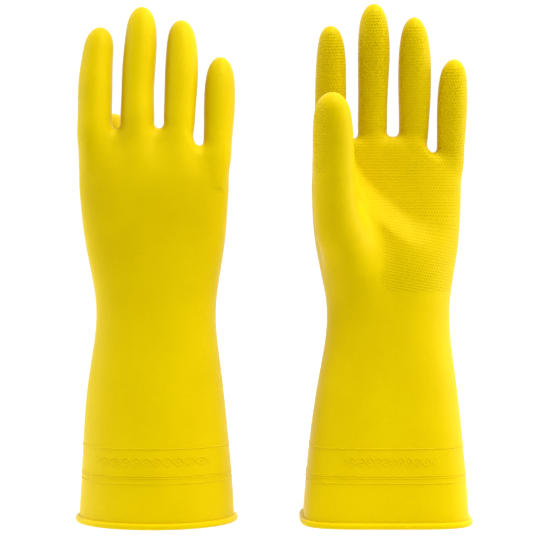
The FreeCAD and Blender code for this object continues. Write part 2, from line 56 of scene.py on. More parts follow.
GLOVES = {
    "right": dict(
        x=-70.9, sy=1.0,
        # height, left edge, right edge
        body=[(8.7, -46.6, 47.2), (17.9, -46.0, 46.7), (27.1, -45.6, 46.1), (36.3, -45.0, 45.4), (45.4, -44.6, 44.5),
              (54.6, -44.2, 43.5), (63.8, -43.7, 42.6), (72.9, -42.9, 41.7), (82.1, -41.9, 40.7), (91.3, -40.7, 39.5),
              (100.4, -39.3, 38.4), (109.6, -37.8, 37.4), (118.8, -36.7, 36.5), (127.9, -36.5, 36.2),
              (137.2, -37.2, 36.9), (146.3, -38.6, 38.3), (155.4, -40.4, 39.9), (164.6, -42.1, 41.3),
              (173.7, -43.5, 42.4), (182.9, -44.6, 43.1), (192.0, -45.3, 43.6), (201.2, -45.9, 44.4),
              (210.3, -46.6, 45.0), (219.5, -47.4, 45.5), (226.8, -47.6, 45.7)],
        # height, half depth, centre, section power
        depth=[(3.75, 37.0, 0.0, 2.05), (29.8, 34.4, 0.0, 2.05), (46.8, 32.3, 0.0, 2.1), (76.4, 28.2, 0.0, 2.1),
               (111.4, 24.4, 0.0, 2.15), (122.4, 23.6, -0.2, 2.15), (133.4, 23.2, -0.6, 2.2), (154.4, 21.6, -2.4, 2.3),
               (178.4, 19.2, -4.8, 2.35), (200.4, 16.8, -7.0, 2.4), (216.4, 14.2, -8.0, 2.4),
               (227.4, 11.4, -8.0, 2.4), (238.4, 8.2, -7.8, 2.4)],
        webs=[(-23.6, 237.8), (1.5, 238.4), (26.7, 227.8)],
        fingers={
            "index": dict(p0=(-38.6, -7.4, 243.0), p1=(-37.6, 3.0, 291.7), mid=30.5, tip=301.3, rows=[
                (300.8, -37.3, -31.9), (297.2, -41.4, -28.4), (293.5, -43.2, -27.1), (285.9, -45.1, -26.6),
                (278.3, -46.2, -26.8), (270.8, -47.0, -26.7), (255.8, -47.4, -26.6), (244.6, -47.2, -26.5),
                (237.3, -47.1, -26.4)]),
            "middle": dict(p0=(-12.1, -7.8, 243.4), p1=(-11.8, 5.0, 304.2), mid=35.0, tip=314.2, rows=[
                (312.2, -14.0, -4.6), (308.5, -16.6, -2.3), (304.8, -17.9, -1.2), (301.0, -18.6, -0.5),
                (297.2, -19.1, -0.2), (289.6, -19.8, 0.0), (282.0, -20.4, -0.3), (270.7, -20.9, -0.9),
                (252.0, -21.1, -1.0), (240.9, -21.1, -0.8)]),
            "ring": dict(p0=(15.0, -7.8, 243.4), p1=(14.4, 4.4, 295.8), mid=32.0, tip=305.9, rows=[
                (304.8, 11.0, 18.6), (301.1, 8.5, 21.3), (297.4, 7.1, 23.0), (293.5, 6.5, 24.0), (289.7, 6.1, 24.6),
                (282.1, 5.6, 25.3), (274.0, 5.3, 25.4), (267.0, 5.2, 25.3), (259.5, 5.2, 24.9), (252.0, 5.1, 24.4),
                (244.0, 5.0, 24.0)]),
            "little": dict(p0=(37.3, -7.4, 231.8), p1=(38.0, 2.4, 273.7), mid=26.5, tip=283.0, rows=[
                (282.3, 36.0, 42.2), (278.7, 33.2, 45.0), (275.0, 31.4, 46.5), (271.2, 30.4, 47.4), (263.6, 29.5, 48.0),
                (256.1, 29.2, 48.1), (249.0, 29.1, 47.9), (244.9, 29.2, 47.6), (237.4, 29.2, 46.9), (226.4, 29.2, 46.0)])},
        thumb=((-30.6, 14.5, 161.9), (-31.0, 44.5, 240.7))),
    "left": dict(
        x=67.9, sy=-1.0,
        body=[(8.7, -48.8, 50.3), (17.9, -48.1, 49.8), (27.1, -47.4, 49.2), (36.3, -46.6, 48.6), (45.4, -45.6, 47.9),
              (54.6, -44.5, 47.1), (63.8, -43.3, 46.3), (72.9, -42.1, 45.4), (82.1, -40.6, 44.3), (91.3, -38.9, 43.1),
              (100.4, -37.2, 42.0), (109.6, -35.7, 41.0), (118.8, -34.8, 40.3), (127.9, -34.6, 40.2),
              (137.1, -35.3, 40.8), (146.3, -37.0, 42.2), (155.5, -39.2, 44.0), (164.7, -41.1, 45.5),
              (173.8, -42.3, 46.5), (183.0, -43.0, 47.1), (192.2, -43.3, 47.7), (201.4, -43.6, 48.2),
              (210.6, -43.9, 48.7), (219.8, -44.2, 49.4), (223.5, -44.3, 49.6)],
        depth=[(3.75, 35.0, 0.0, 4.2), (29.8, 33.0, 0.0, 3.6), (46.8, 31.4, 0.0, 3.2), (76.4, 28.0, 0.0, 2.6),
               (111.4, 24.5, 0.0, 2.25), (122.4, 23.7, -0.2, 2.2), (133.4, 23.3, -0.6, 2.2), (154.4, 21.6, -2.4, 2.3),
               (178.4, 19.2, -4.8, 2.35), (200.4, 16.8, -7.0, 2.4), (213.4, 14.2, -8.0, 2.4),
               (223.4, 11.4, -8.0, 2.4), (234.4, 8.2, -7.8, 2.4)],
        webs=[(-16.7, 233.8), (6.8, 234.7), (30.8, 224.9)],
        fingers={
            "index": dict(p0=(-33.0, -7.4, 237.3), p1=(-33.0, 3.2, 292.2), mid=32.5, tip=300.9, rows=[
                (299.8, -36.4, -28.8), (296.1, -38.4, -26.3), (292.5, -39.5, -24.9), (289.0, -40.2, -24.1),
                (285.4, -40.7, -23.6), (278.3, -41.3, -23.0), (270.0, -41.6, -22.8), (264.0, -41.8, -22.7),
                (250.0, -41.8, -22.6), (240.0, -41.7, -22.6)]),
            "middle": dict(p0=(-7.2, -7.8, 238.0), p1=(-6.4, 5.2, 305.2), mid=37.0, tip=313.9, rows=[
                (310.4, -12.1, -0.3), (306.8, -13.7, 1.1), (303.2, -14.6, 1.9), (299.7, -15.2, 2.6), (296.1, -15.5, 3.1),
                (289.0, -15.7, 3.7), (281.9, -15.7, 3.7), (272.0, -15.6, 3.3), (264.0, -15.4, 3.0), (249.6, -15.3, 2.7),
                (238.0, -15.2, 2.6)]),
            "ring": dict(p0=(18.6, -7.8, 238.0), p1=(18.6, 4.8, 296.8), mid=34.0, tip=305.8, rows=[
                (303.2, 13.4, 22.9), (299.5, 11.5, 25.0), (295.9, 10.6, 26.3), (292.4, 10.0, 27.1), (288.9, 9.6, 27.8),
                (285.3, 9.3, 28.3), (278.2, 9.0, 28.9), (268.0, 9.1, 29.2), (260.4, 9.3, 29.2), (252.0, 9.7, 28.9),
                (244.0, 10.0, 28.5), (236.0, 10.1, 28.1)]),
            "little": dict(p0=(41.2, -7.4, 227.3), p1=(41.2, 2.6, 272.2), mid=27.0, tip=280.6, rows=[
                (278.0, 37.4, 48.1), (274.3, 35.5, 49.4), (270.7, 34.4, 50.2), (267.1, 33.8, 50.7), (260.0, 33.2, 51.2),
                (252.9, 33.0, 51.3), (245.7, 33.0, 51.2), (238.0, 33.2, 50.8), (231.2, 33.4, 50.5), (223.9, 33.5, 50.2)])},
        thumb=((-29.6, 14.5, 164.4), (-33.2, 44.5, 245.1))),
}
THUMB_ROWS = [(-20, 3.0), (-8, 6.5), (4, 9.5), (16, 11.8), (28, 12.4), (40, 12.4), (52, 12.2), (64, 12.1), (72, 11.9),
              (79, 11.4), (84, 10.7), (88.5, 9.7), (92.5, 7.9), (95.4, 4.9)]
THUMB_TIP = 96.8
WRIST = 122.4
BAND = 15.0
CUFF_SEAM = 96.0
SHELL_LOW = 2.2


# ---------------------------------------------------------------- tables and fields
def smooth_table(xs, ys, grid, lam, weights=None):
    """Values on grid nearest to the rows, with an even curvature."""
    n = len(grid)
    a, b = np.zeros((n, n)), np.zeros(n)
    step = grid[1] - grid[0]
    for k, (x, y) in enumerate(zip(xs, ys)):
        t = (x - grid[0]) / step
        i = int(min(max(math.floor(t), 0), n - 2))
        f = t - i
        w = 1.0 if weights is None else weights[k]
        for p, wp in ((i, 1 - f), (i + 1, f)):
            b[p] += w * wp * y
            for q, wq in ((i, 1 - f), (i + 1, f)):
                a[p, q] += w * wp * wq
    d = np.diff(np.eye(n), 3, axis=0)
    return np.linalg.solve(a + lam * d.T @ d, b)


def smin(a, b, k):
    h = np.clip(0.5 + 0.5 * (b - a) / k, 0, 1)
    return b + (a - b) * h - k * h * (1 - h)


def smax(a, b, k):
    return -smin(-a, -b, k)


def smoothstep(x, a, b):
    t = np.clip((x - a) / (b - a), 0, 1)
    return t * t * (3 - 2 * t)


class Digit:
    def __init__(self, name, p0, p1, rows, tip, mid, low=-30.0, along_axis=False):
        self.name, self.low, self.mid = name, low, mid
        self.p0 = np.array(p0, float)
        d = np.array(p1, float) - self.p0
        self.d = d / np.linalg.norm(d)
        e1 = np.array([1.0, 0, 0]) - self.d[0] * self.d
        self.e1 = e1 / np.linalg.norm(e1)
        self.e2 = np.cross(self.d, self.e1)
        s, c, r2 = [], [], []
        if along_axis:
            for x, r in rows:
                s.append(x)
                c.append(0.0)
                r2.append(r * r)
            tip_s = tip
        else:
            for z, ul, ur in rows:
                x = (z - self.p0[2]) / self.d[2]
                s.append(x)
                c.append(0.5 * (ul + ur) - (self.p0[0] + x * self.d[0]))
                r2.append((0.5 * (ur - ul)) ** 2)
            tip_s = (tip - self.p0[2]) / self.d[2]
        order = np.argsort(s)
        s, c, r2 = np.array(s)[order], np.array(c)[order], np.array(r2)[order]
        self.tip_s = tip_s
        self.g = np.arange(-40.0, tip_s + 16.0, 1.0)
        slope = (r2[-1] - 0.0) / (tip_s - s[-1])
        fade = (0.04, 0.42) if not along_axis else (0.2, 0.6)
        xs = np.concatenate([[-34.0, -20.0], s, [tip_s, tip_s + 5.0, tip_s + 14.0]])
        ys = np.concatenate([[r2[0] * fade[0], r2[0] * fade[1]], r2, [0.0, -5.0 * slope, -14.0 * slope]])
        ws = np.ones(len(xs))
        ws[-3] = 6.0
        ws[:2] = 1.0 if not along_axis else 0.0
        ws[-2:] = 0.3
        self.S = smooth_table(xs, ys, self.g, 150.0, ws)
        self.dS = np.gradient(self.S, self.g)
        self.C = smooth_table(np.concatenate([[-38.0, -20.0], s, [tip_s + 14.0]]),
                              np.concatenate([[c[0], c[0]], c, [c[-1]]]), self.g, 3000.0)

    def station(self, p):
        return (p - self.p0) @ self.d

    def field(self, p):
        q = p - self.p0
        s = q @ self.d
        w1 = q @ self.e1 - np.interp(s, self.g, self.C)
        w2 = q @ self.e2
        rho2 = w1 * w1 + w2 * w2
        S = np.interp(s, self.g, self.S)
        h = 0.25 * np.interp(s, self.g, self.dS) ** 2
        f = (rho2 - S) / (np.sqrt(rho2 + h + 1e-6) + np.sqrt(np.maximum(S + h, 0.04)))
        return np.maximum(f, self.low - s)


class Glove:
    def __init__(self, side):
        g = GLOVES[side]
        self.side, self.x, self.sy = side, g["x"], g["sy"]
        self.zg = np.arange(-10.0, 262.0, 1.0)
        rows = g["body"]
        z = [r[0] for r in rows]
        self.A = smooth_table(z, [0.5 * (r[2] - r[1]) for r in rows], self.zg, 4e4)
        self.CU = smooth_table(z, [0.5 * (r[2] + r[1]) for r in rows], self.zg, 4e5)
        top = self.zg > 227.0
        self.A[top] = self.A[~top][-1]
        self.CU[top] = self.CU[~top][-1]
        dz = [r[0] for r in g["depth"]]
        self.B = smooth_table(dz, [r[1] for r in g["depth"]], self.zg, 2e4)
        self.A -= 0.7 * smoothstep(self.zg, 200.0, 216.0) + 1.5 * smoothstep(self.zg, 214.0, 238.0)
        self.CV = smooth_table(dz, [r[2] for r in g["depth"]], self.zg, 2e4)
        self.N = smooth_table(dz, [r[3] for r in g["depth"]], self.zg, 2e5)
        last = dz[-1] + 8
        self.B[self.zg > last] = self.B[self.zg <= last][-1]
        self.webs = g["webs"]
        self.lift = np.zeros(3)
        self.fingers = [Digit(n, f["p0"], f["p1"], f["rows"], f["tip"], f["mid"]) for n, f in g["fingers"].items()]
        self.thumb = Digit("thumb", g["thumb"][0], g["thumb"][1], THUMB_ROWS, THUMB_TIP, 66.0, -19.0, True)
        self.digits = [self.thumb] + self.fingers
        # ball of the thumb, from the thumb's root down towards the wrist
        self.mound = [(-30.6, 25.0, 196.0, 11.6), (-26.4, 17.4, 176.0, 13.8), (-17.0, 9.6, 152.0, 15.0),
                      (-9.0, 3.0, 134.0, 15.0)]
        for _ in range(4):
            self.calibrate()

    def calibrate(self):
        for i, (u, zc) in enumerate(self.webs):
            zz = np.arange(zc - 14.0, zc + 14.0, 0.1)
            p = np.stack([np.full_like(zz, u), np.full_like(zz, -7.8), zz], 1)
            f = self.field(p)
            out = np.nonzero(f > 0)[0]
            found = zz[out[0]] if len(out) else zz[-1]
            self.lift[i] += (zc - found)

    def palm_shape(self, u, z):
        """How far the palm's side and the back's side move out from the plain section."""
        def bump(u0, z0, su, sz):
            return np.exp(-((u - u0) / su) ** 2 - ((z - z0) / sz) ** 2)
        # the hollow begins along a crease that runs from the thumb's root to the outer heel
        crease = np.interp(u, [-30.0, -19.0, -12.0, -4.0, 5.0, 15.0, 28.0, 45.0],
                           [236.0, 214.0, 200.0, 190.0, 182.5, 176.0, 171.0, 168.0])
        hollow = smoothstep(z - crease, -10.0, 12.0) * (1 - smoothstep(z, 196.0, 238.0))
        hollow = hollow * (1 - 0.8 * smoothstep(u, 4.0, 40.0)) * smoothstep(u, -38.0, -20.0)
        palm = (-6.4 * hollow + 3.4 * bump(24.0, 157.0, 19.0, 18.0) - 1.0 * bump(-2.0, 138.0, 8.0, 12.0))
        back = 0.9 * bump(-2.0, 207.0, 34.0, 16.0)
        for f in self.fingers:
            back = back + 0.7 * bump(f.p0[0], f.p0[2] - 20.0, 7.5, 9.0)
        for (u1, _), zc in zip(self.webs, [w[1] for w in self.webs]):
            back = back - 1.9 * bump(u1, zc - 4.0, 6.5, 14.0)
        return palm, back

    def body(self, p):
        u, v, z = p[..., 0], p[..., 1], p[..., 2]
        a = np.interp(z, self.zg, self.A)
        cu = np.interp(z, self.zg, self.CU)
        b = np.interp(z, self.zg, self.B)
        cv = np.interp(z, self.zg, self.CV)
        n = np.interp(z, self.zg, self.N)
        palm, back = self.palm_shape(u, z)
        du, dv = np.abs(u - cu) / a, v - cv
        side = smoothstep(dv, -4.0, 4.0)
        bb = b + side * palm + (1 - side) * back
        dvb = np.abs(dv) / bb
        q = (du ** n + dvb ** n + 1e-12) ** (1 / n)
        gx = du ** (n - 1) / a
        gy = dvb ** (n - 1) / bb
        gr = np.sqrt(gx * gx + gy * gy) / np.maximum(q, 1e-6) ** (n - 1)
        f = (q - 1) / np.maximum(gr, 0.012)
        w = self.webs
        top = np.interp(u, [w[0][0] - 14, w[0][0], w[1][0], w[2][0] - 9.0, w[2][0] - 2.0, w[2][0] + 3.0, w[2][0] + 14],
                        [w[0][1] + self.lift[0], w[0][1] + self.lift[0], w[1][1] + self.lift[1],
                         w[1][1] + self.lift[1] - 1.0, w[2][1] + self.lift[2] + 2.0, w[2][1] + self.lift[2],
                         w[2][1] + self.lift[2]])
        return smax(f, z - top, 7.0)

    def mound_field(self, p):
        best = None
        pts = self.mound
        for (ax, ay, az, ar), (bx, by, bz, br) in zip(pts[:-1], pts[1:]):
            a, b = np.array([ax, ay, az]), np.array([bx, by, bz])
            d = b - a
            t = np.clip(((p - a) @ d) / (d @ d), 0, 1)
            c = a + t[..., None] * d
            f = np.sqrt(((p - c) ** 2).sum(-1)) - (ar + (br - ar) * t)
            best = f if best is None else smin(best, f, 3.0)
        return best

    def field(self, p):
        f = self.fingers[0].field(p)
        for d in self.fingers[1:]:
            f = smin(f, d.field(p), 2.2)
        f = smin(self.body(p), f, 4.6)
        f = smin(f, self.mound_field(p), 11.0)
        return smin(f, self.thumb.field(p), 4.0)

    def gradient(self, p, h=0.25):
        g = np.empty_like(p)
        for i in range(3):
            e = np.zeros(3)
            e[i] = h
            g[:, i] = (self.field(p + e) - self.field(p - e)) / (2 * h)
        return g

    def project(self, p, iso, steps=4):
        for _ in range(steps):
            g = self.gradient(p)
            f = self.field(p) - iso
            move = f / np.maximum((g * g).sum(1), 0.2)
            p = p - np.clip(move, -1.2, 1.2)[:, None] * g
        return p

    def world(self, p):
        out = np.empty_like(p)
        out[..., 0] = self.x + p[..., 0]
        out[..., 1] = self.sy * p[..., 1]
        out[..., 2] = p[..., 2]
        return out * MM

    def turn(self, n):
        out = n.copy()
        out[..., 1] *= self.sy
        return out


# ---------------------------------------------------------------- surfaces
def surface_net(F, origin, h, iso):
    """One vertex in each grid cell that the surface crosses, and quads between them."""
    ins = F < iso
    nx, ny, nz = F.shape
    cnt = np.zeros((nx - 1, ny - 1, nz - 1), np.int8)
    for i in (0, 1):
        for j in (0, 1):
            for k in (0, 1):
                cnt += ins[i:nx - 1 + i, j:ny - 1 + j, k:nz - 1 + k]
    act = (cnt > 0) & (cnt < 8)
    idx = -np.ones(cnt.shape, np.int64)
    cells = np.argwhere(act)
    idx[act] = np.arange(len(cells))
    acc = np.zeros((len(cells), 3))
    num = np.zeros(len(cells))
    corner = [(i, j, k) for i in (0, 1) for j in (0, 1) for k in (0, 1)]
    for a in corner:
        for b in corner:
            if sum(b) == sum(a) + 1 and all(y >= x for x, y in zip(a, b)):
                fa = F[cells[:, 0] + a[0], cells[:, 1] + a[1], cells[:, 2] + a[2]]
                fb = F[cells[:, 0] + b[0], cells[:, 1] + b[1], cells[:, 2] + b[2]]
                cr = (fa < iso) != (fb < iso)
                t = np.where(cr, (iso - fa) / np.where(cr, fb - fa, 1.0), 0.0)
                pa, pb = np.array(a, float), np.array(b, float)
                acc[cr] += pa + (pb - pa) * t[cr, None]
                num[cr] += 1
    pos = origin + h * (cells + acc / num[:, None])
    quads = []
    for ax in range(3):
        o1, o2 = [(1, 2), (2, 0), (0, 1)][ax]
        sl0 = [slice(None)] * 3
        sl1 = [slice(None)] * 3
        sl0[ax], sl1[ax] = slice(0, F.shape[ax] - 1), slice(1, F.shape[ax])
        ia, ib = ins[tuple(sl0)], ins[tuple(sl1)]
        e = np.argwhere(ia != ib)
        ok = (e[:, o1] >= 1) & (e[:, o2] >= 1) & (e[:, o1] < F.shape[o1] - 1) & (e[:, o2] < F.shape[o2] - 1)
        e = e[ok]
        first = ia[e[:, 0], e[:, 1], e[:, 2]]

        def at(d1, d2):
            c = e.copy()
            c[:, o1] -= d1
            c[:, o2] -= d2
            return idx[c[:, 0], c[:, 1], c[:, 2]]

        q = np.stack([at(1, 1), at(0, 1), at(0, 0), at(1, 0)], 1)
        q[~first] = q[~first][:, ::-1]
        quads.append(q)
    quads = np.concatenate(quads)
    d02 = ((pos[quads[:, 0]] - pos[quads[:, 2]]) ** 2).sum(1)
    d13 = ((pos[quads[:, 1]] - pos[quads[:, 3]]) ** 2).sum(1)
    short = (d02 <= d13)[:, None]
    t1 = np.where(short, quads[:, [0, 1, 2]], quads[:, [0, 1, 3]])
    t2 = np.where(short, quads[:, [0, 2, 3]], quads[:, [1, 2, 3]])
    return pos, np.concatenate([t1, t2])


class Surface:
    """A triangle surface of one glove at one depth below its skin."""

    def __init__(self, glove, iso, F, origin):
        self.g, self.iso = glove, iso
        self.P, self.T = surface_net(F, origin, GRID, iso)
        self.P = glove.project(self.P, iso)

    def cut(self, station, direction, level, near):
        """Splits the triangles that cross station = level and lie where near(point) is true."""
        phi = station(self.P) - level
        sel_v = near(self.P)
        close = sel_v & (np.abs(phi) < 0.28 * GRID)
        self.P[close] -= phi[close, None] * direction
        on_plane = close.copy()
        phi[close] = 0.0
        s = np.sign(phi)
        ts = s[self.T]
        cross = sel_v[self.T].all(1) & (ts.min(1) < 0) & (ts.max(1) > 0)
        keep, tri = self.T[~cross], self.T[cross]
        new_p, new_t, made = [], [], {}
        base = len(self.P)

        def mid(a, b):
            key = (min(a, b), max(a, b))
            if key not in made:
                t = phi[a] / (phi[a] - phi[b])
                made[key] = base + len(new_p)
                new_p.append(self.P[a] + (self.P[b] - self.P[a]) * t)
            return made[key]

        for a, b, c in tri.tolist():
            sa, sb, sc = s[a], s[b], s[c]
            if 0 in (sa, sb, sc):
                while s[a] != 0:
                    a, b, c = b, c, a
                m = mid(b, c)
                new_t += [(a, b, m), (a, m, c)]
            else:
                while not (s[b] == s[c] and s[a] != s[b]):
                    a, b, c = b, c, a
                m1, m2 = mid(a, b), mid(a, c)
                new_t += [(a, m1, m2), (m1, b, c), (m1, c, m2)]
        if new_p:
            self.P = np.concatenate([self.P, np.array(new_p)])
            self.T = np.concatenate([keep, np.array(new_t, np.int64)])
            on_plane = np.concatenate([on_plane, np.ones(len(new_p), bool)])
        # back onto the surface without leaving the plane
        k = np.nonzero(on_plane)[0]
        q = self.P[k]
        for _ in range(3):
            gr = self.g.gradient(q)
            gp = gr - (gr @ direction)[:, None] * direction
            f = self.g.field(q) - self.iso
            q = q - np.clip(f / np.maximum((gp * gp).sum(1), 0.2), -0.6, 0.6)[:, None] * gp
        self.P[k] = q


def loops(T):
    """Directed border loops of a triangle set."""
    e = np.concatenate([T[:, [0, 1]], T[:, [1, 2]], T[:, [2, 0]]])
    n = int(T.max()) + 1
    key, rev = e[:, 0] * n + e[:, 1], e[:, 1] * n + e[:, 0]
    border = e[~np.isin(key, rev)]
    nxt = {}
    for a, b in border.tolist():
        nxt.setdefault(a, []).append(b)
    out = []
    while nxt:
        start = next(iter(nxt))
        loop, cur = [start], start
        while True:
            b = nxt[cur].pop()
            if not nxt[cur]:
                del nxt[cur]
            if b == start:
                break
            loop.append(b)
            cur = b
            if cur not in nxt:
                break
        if len(loop) > 5:
            out.append(loop)
    return out


def bridge(P, lo, li):
    """Triangles between an outer and an inner border loop."""
    li = li[::-1]
    a, b = P[lo], P[li]
    c = a.mean(0)
    _, _, vt = np.linalg.svd(a - c)
    x, y = vt[0], vt[1]

    def ang(q):
        return np.arctan2((q - c) @ y, (q - c) @ x)

    ta = np.unwrap(ang(a))
    if ta[-1] < ta[0]:
        y = -y
        ta = np.unwrap(ang(a))
    tb = ang(b)
    j0 = int(np.argmin(np.abs((tb - ta[0] + math.pi) % (2 * math.pi) - math.pi)))
    li = li[j0:] + li[:j0]
    tb = np.unwrap(ang(P[li]))
    tb = tb - 2 * math.pi * round((tb[0] - ta[0]) / (2 * math.pi))
    na, nb = len(lo), len(li)
    ta = np.append(ta, ta[0] + 2 * math.pi)
    tb = np.append(tb, tb[0] + 2 * math.pi)
    i = j = 0
    out = []
    while i < na or j < nb:
        if j >= nb or (i < na and ta[i + 1] <= tb[j + 1]):
            out.append((lo[(i + 1) % na], lo[i], li[j % nb]))
            i += 1
        else:
            out.append((li[j % nb], li[(j + 1) % nb], lo[i % na]))
            j += 1
    return out


def make_mesh(name, P, T, N=None, slots=None, tri_slot=None, smooth=True):
    me = bpy.data.meshes.new(name)
    me.vertices.add(len(P))
    me.vertices.foreach_set("co", np.ascontiguousarray(P, np.float32).ravel())
    loops_ = np.ascontiguousarray(T, np.int32).ravel()
    k = T.shape[1]
    me.loops.add(len(loops_))
    me.loops.foreach_set("vertex_index", loops_)
    me.polygons.add(len(T))
    me.polygons.foreach_set("loop_start", np.arange(0, len(loops_), k, dtype=np.int32))
    me.polygons.foreach_set("loop_total", np.full(len(T), k, np.int32))
    me.update(calc_edges=True)
    me.polygons.foreach_set("use_smooth", np.full(len(T), smooth))
    if N is not None:
        me.normals_split_custom_set_from_vertices(N.astype(np.float32))
    ob = bpy.data.objects.new(name, me)
    bpy.context.scene.collection.objects.link(ob)
    return ob


# ---------------------------------------------------------------- glove pieces
def seams(glove):
    """Station of each digit's two seams, with the bend zone above each."""
    out = {}
    for d in glove.digits:
        if d.name == "thumb":
            out[d.name] = dict(root=30.5, root_end=45.5, seam=51.6, mid=(58.0, 74.0))
        else:
            lo = d.mid - 8.5
            out[d.name] = dict(root=-1.2, root_end=12.8, seam=0.5 * (12.8 + lo), mid=(lo, d.mid + 8.5))
    return out


def split_surface(glove, F, origin, iso):
    s = Surface(glove, iso, F, origin)
    up = np.array([0, 0, 1.0])
    everywhere = lambda p: np.ones(len(p), bool)
    height = lambda p: p[:, 2]
    s.cut(height, up, SHELL_LOW, lambda p: p[:, 2] < 20)
    s.cut(height, up, CUFF_SEAM, lambda p: np.abs(p[:, 2] - CUFF_SEAM) < 6)
    sm = seams(glove)
    fields = lambda p: np.stack([d.field(p) for d in glove.digits], 1)
    for i, d in enumerate(glove.digits):
        for level in (sm[d.name]["root"], sm[d.name]["seam"]):
            def near(p, d=d, i=i, level=level):
                st = d.station(p)
                ok = np.abs(st - level) < 5.0
                out = np.zeros(len(p), bool)
                k = np.nonzero(ok)[0]
                f = fields(p[k])
                mine = f.argmin(1) == i
                if d.name == "thumb":
                    mine &= f[:, i] < 4.0
                out[k] = mine
                return out
            s.cut(d.station, d.d, level, near)
    c = s.P[s.T].mean(1)
    f = fields(c)
    label = np.ones(len(c), int)
    label[c[:, 2] < CUFF_SEAM] = 0
    label[c[:, 2] < SHELL_LOW] = -1
    high = c[:, 2] > 180
    near_i = f.argmin(1)
    for i, d in enumerate(glove.digits):
        st = d.station(c)
        mine = high & (near_i == i) & (st > sm[d.name]["root"])
        if d.name == "thumb":
            mine &= f[:, i] < 4.0
        label[mine] = 2 + 2 * i
        label[mine & (st > sm[d.name]["seam"])] = 3 + 2 * i
    return s, label


def shells(glove, outer, inner):
    """Closed shells, one for each label: points, triangles, normals in the glove's frame."""
    (so, lo), (si, li) = outer, inner
    no = glove.gradient(so.P)
    no /= np.linalg.norm(no, axis=1)[:, None]
    ni = glove.gradient(si.P)
    ni /= -np.linalg.norm(ni, axis=1)[:, None]
    P = np.concatenate([so.P, si.P])
    N = np.concatenate([no, ni])
    off = len(so.P)
    out = {}
    for k in range(0, 2 + 2 * len(glove.digits)):
        to = so.T[lo == k]
        ti = si.T[li == k][:, ::-1] + off
        if not len(to) or not len(ti):
            continue
        a, b = loops(to), loops(ti)
        strips = []
        used = set()
        for la in a:
            ca = P[la].mean(0)
            best = sorted((np.linalg.norm(P[lb].mean(0) - ca), j) for j, lb in enumerate(b) if j not in used)
            if best and best[0][0] < 6.0:
                used.add(best[0][1])
                strips += bridge(P, la, b[best[0][1]])
        if len(a) != len(b) or len(used) != len(a):
            print("border loops differ", glove.side, k, len(a), len(b), len(used))
        T = np.concatenate([to, ti] + ([np.array(strips, np.int64)] if strips else []))
        ids, inv = np.unique(T, return_inverse=True)
        out[k] = (P[ids], inv.reshape(-1, 3), N[ids])
    return out


def ray_out(glove, base, direction, start, iso=0.0):
    """Where a ray that comes in along -direction from start first meets the skin."""
    t = np.full(len(base), float(start))
    for _ in range(60):
        f = glove.field(base + t[:, None] * direction) - iso
        t = t - 0.85 * f
        if np.abs(f).max() < 0.01:
            break
    p = base + t[:, None] * direction
    return p, np.abs(glove.field(p) - iso) < 0.05


def grip_points(glove):
    """Centres of the raised lozenges on the palm and on the fronts of the fingers."""
    du, dz = 1.75, 1.8
    pts = []
    # palm
    edge_z = np.array([139.0, 143.0, 149.5, 160.5, 180.0, 189.5, 203.5, 231.5, 250.0])
    edge_u = np.array([2.0, -1.0, -3.5, -0.6, -2.4, -8.6, -14.7, -18.0, -20.0])
    rows = np.arange(139.5, 236.0, dz)
    for i, z in enumerate(rows):
        u = np.arange(-21.0, 50.0, du) + (0.5 * du if i % 2 else 0.0)
        slant = 0.2 * float(1 - smoothstep(np.array(z), 172.0, 192.0))
        zz = z - slant * (u - 10.0)
        ok = (u > np.interp(zz, edge_z, edge_u)) & (zz > 139.5)
        pts.append(np.stack([u[ok], np.zeros(ok.sum()), zz[ok]], 1))
    p = np.concatenate(pts)
    base = p.copy()
    base[:, 1] = 0.0
    hit, good = ray_out(glove, base, np.array([0.0, 1.0, 0.0]), 32.0)
    hit = hit[good]
    st = np.stack([d.station(hit) for d in glove.fingers], 1)
    fd = np.stack([d.field(hit) for d in glove.fingers], 1)
    n = glove.gradient(hit)
    n /= np.linalg.norm(n, axis=1)[:, None]
    on_finger = (fd.min(1) < 1.5) & (st[np.arange(len(hit)), fd.argmin(1)] > -3.0)
    thumb = glove.thumb.field(hit) < 2.5
    keep = ~on_finger & ~thumb & (n[:, 1] > 0.25) & (glove.mound_field(hit) > 2.0 - 0.0)
    out = [hit[keep]]
    # fingers
    for d in glove.fingers + [glove.thumb]:
        if d.name == "thumb":
            s_all, a_lo, a_hi = np.arange(52.0, THUMB_TIP - 4.0, dz), -1.25, -0.45
        else:
            s_all, a_lo, a_hi = np.arange(-3.0, d.tip_s - 4.5, dz), -1.2, 1.2
        for i, s in enumerate(s_all):
            r = math.sqrt(max(float(np.interp(s, d.g, d.S)), 4.0))
            step = du / r
            lim = a_hi
            if d.name != "thumb":
                lim = min(a_hi, 0.15 * a_hi + (d.tip_s - s) / 11.0)
            aa = np.arange(a_lo if d.name == "thumb" else -lim, lim, step) + (0.5 * step if i % 2 else 0.0)
            c = d.p0 + s * d.d + float(np.interp(s, d.g, d.C)) * d.e1
            ev = np.array([0.0, 1.0, 0.0]) - d.d[1] * d.d
            ev /= np.linalg.norm(ev)
            dirs = np.sin(aa)[:, None] * d.e1 + np.cos(aa)[:, None] * ev
            t = np.full(len(aa), r)
            base = np.repeat(c[None], len(aa), 0)
            for _ in range(12):
                f = glove.field(base + t[:, None] * dirs)
                t = t - np.clip(f, -2, 2)
            q = base + t[:, None] * dirs
            ok = (np.abs(glove.field(q)) < 0.05) & (t < r + 4)
            if d.name != "thumb" and s < 2.0:
                nn = glove.gradient(q)
                ok &= nn[:, 1] / np.linalg.norm(nn, axis=1) > 0.3
            out.append(q[ok])
    return np.concatenate(out)


